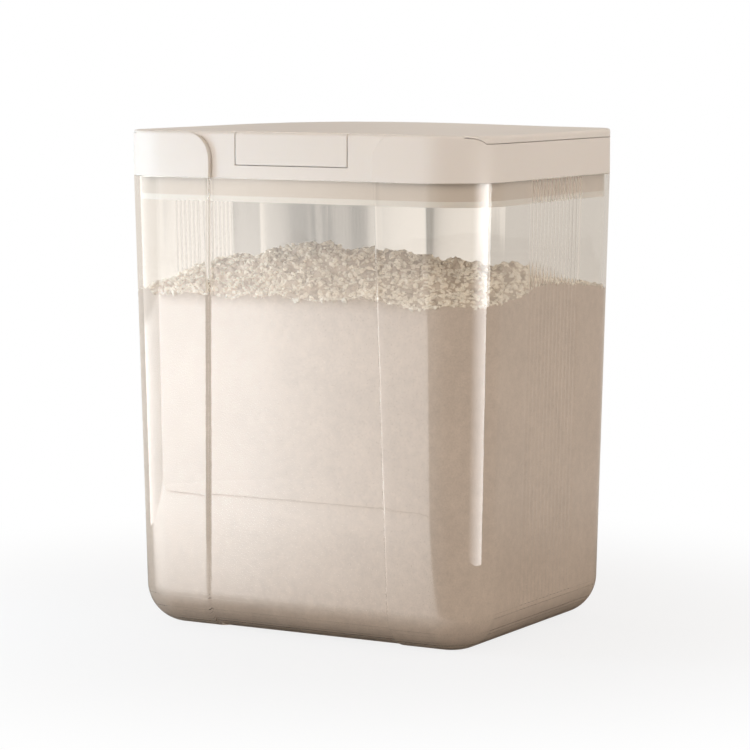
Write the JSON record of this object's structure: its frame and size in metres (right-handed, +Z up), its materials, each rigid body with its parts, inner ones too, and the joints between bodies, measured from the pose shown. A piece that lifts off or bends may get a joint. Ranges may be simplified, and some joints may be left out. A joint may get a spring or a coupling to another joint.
{
  "type": "cereal storage container",
  "caption": "Clear moulded dry-food bin with a lift-off sealing lid, a hinged pour cover and a push-button latch.",
  "frame": {"origin": "bottom centre of the overall box, under the middle of the base", "axes": "+Z up, -Y the front with the push button, +X the right side seen from the front"},
  "size_m": [0.25, 0.201, 0.306],
  "materials": {
    "clear_plastic": "clear moulded plastic, polished",
    "lid_plastic": "fine satin moulded plastic",
    "inner_plastic": "smooth moulded plastic",
    "silicone": "translucent white silicone",
    "steel": "stainless steel",
    "spring_steel": "drawn stainless wire"
  },
  "bodies": {
    "container": {"clear_body": "clear_plastic"},
    "lid": {"lid_frame": "lid_plastic", "plug_ring": "inner_plastic", "body_seal": "silicone", "ring_screws": "steel", "latch_retainer": "inner_plastic", "retainer_screws": "steel", "hinge_pin_left": "steel", "hinge_pin_right": "steel", "hinge_spring_left": "spring_steel", "hinge_spring_right": "spring_steel", "button_spring_left": "spring_steel", "button_spring_right": "spring_steel"},
    "cover": {"flip_cover": "lid_plastic", "cover_liner": "inner_plastic", "cover_seal": "silicone"},
    "button": {"push_button": "lid_plastic", "latch_slide": "inner_plastic"}
  },
  "joints": [
    {"name": "lid_lift", "type": "slide", "parent": "container", "child": "lid", "axis": [0, 0, 1], "range_m": [0, 0.08]},
    {"name": "cover_hinge", "type": "hinge", "parent": "lid", "child": "cover", "pos_m": [0, 0.0956, 0.2992], "axis": [-1, 0, 0], "range_deg": [0, 95]},
    {"name": "button_press", "type": "slide", "parent": "lid", "child": "button", "axis": [0, 1, 0], "range_m": [0, 0.0025], "stiffness_N_per_m": 800, "springref_m": -0.004, "deforming": ["button_spring_left", "button_spring_right"]}
  ]
}
